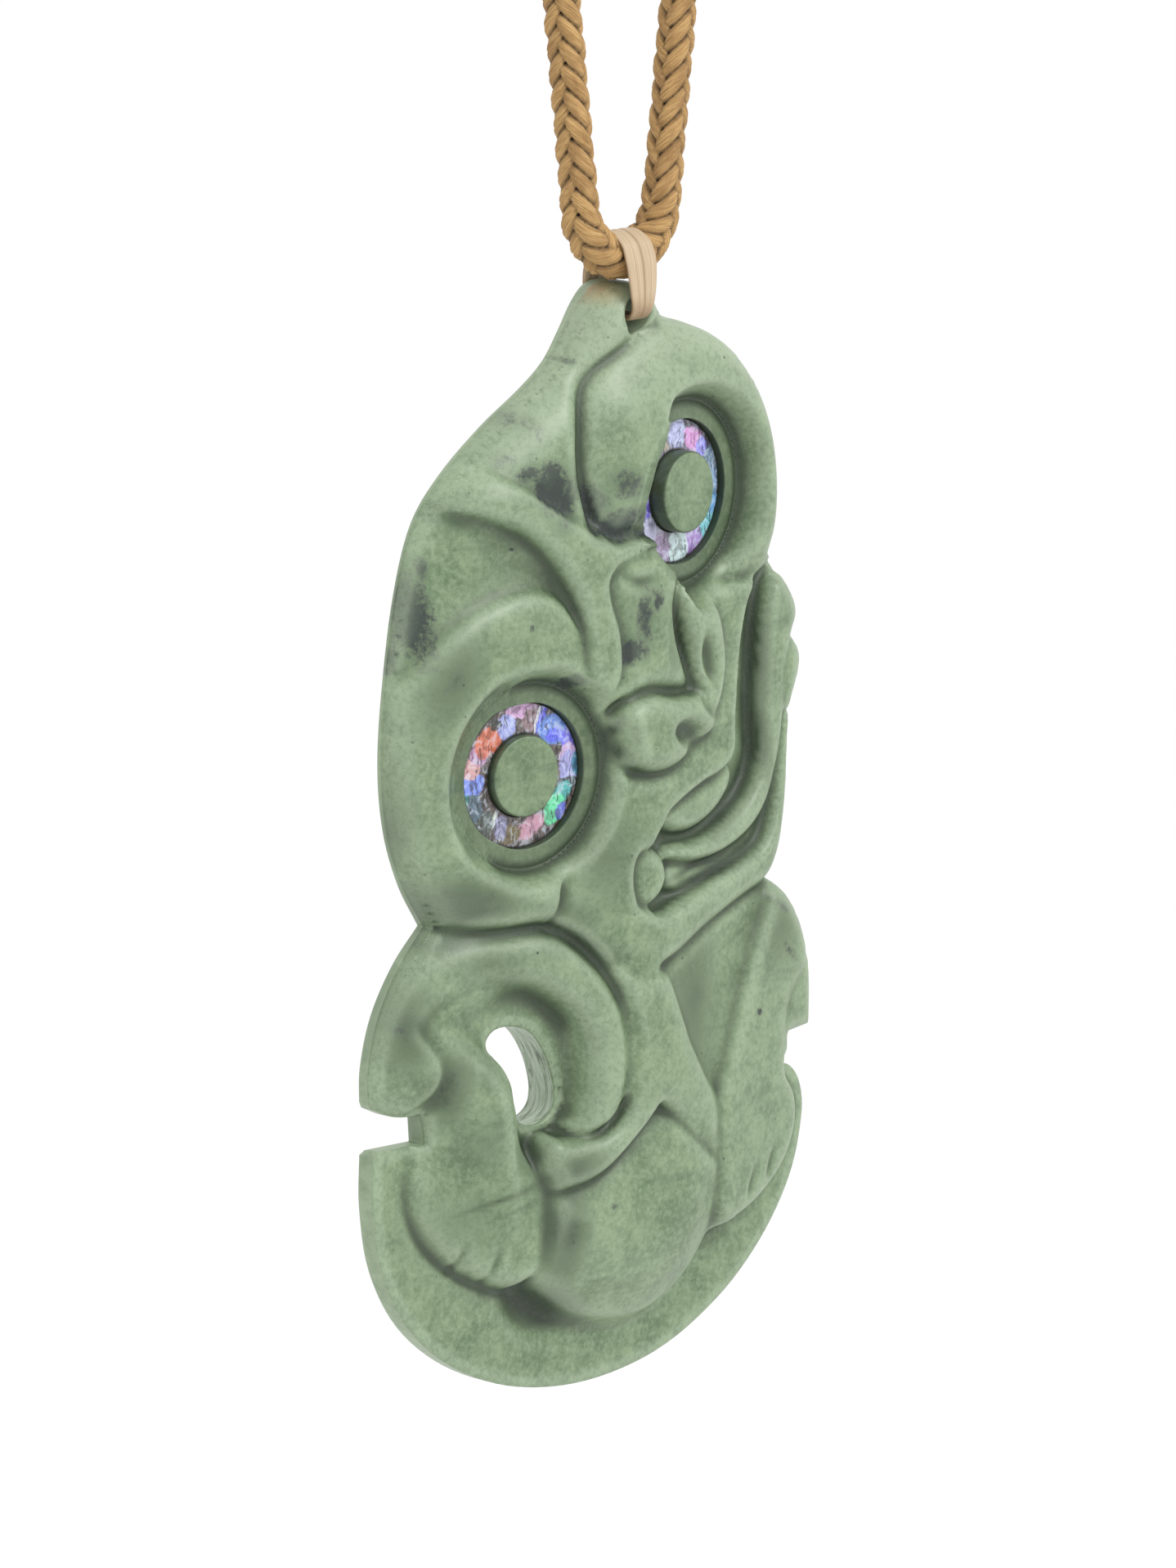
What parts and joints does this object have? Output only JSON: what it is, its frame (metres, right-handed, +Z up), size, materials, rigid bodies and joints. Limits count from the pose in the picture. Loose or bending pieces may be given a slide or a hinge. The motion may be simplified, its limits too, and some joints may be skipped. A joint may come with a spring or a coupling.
{
  "type": "carved pendant on a neck cord",
  "caption": "Flat carved greenstone figure pendant with its head tilted to one side and shell ring eyes, lashed below a plaited neck cord loop.",
  "frame": {"origin": "the underside of the cord's binding at the top of the loop, where the neck or a hook holds it", "axes": "+Z up along the hanging necklace, -Y out of the carved front, +X to the right as the front is seen"},
  "size_m": [0.0832, 0.0108, 0.4384],
  "materials": {
    "stone": "matte",
    "shell": "gloss",
    "cord": "matte",
    "thread": "matte"
  },
  "bodies": {
    "neck_loop": {"neck_cord": "cord", "cord_binding": "cord"},
    "pendant": {"tiki_body": "stone", "eye_ring_left": "shell", "eye_ring_right": "shell", "lashing": "thread"}
  },
  "joints": [
    {"name": "pendant_swing", "type": "hinge", "parent": "neck_loop", "child": "pendant", "pos_m": [0, 0, -0.31917], "axis": [1, 0, 0], "range_deg": [-80, 80]}
  ]
}
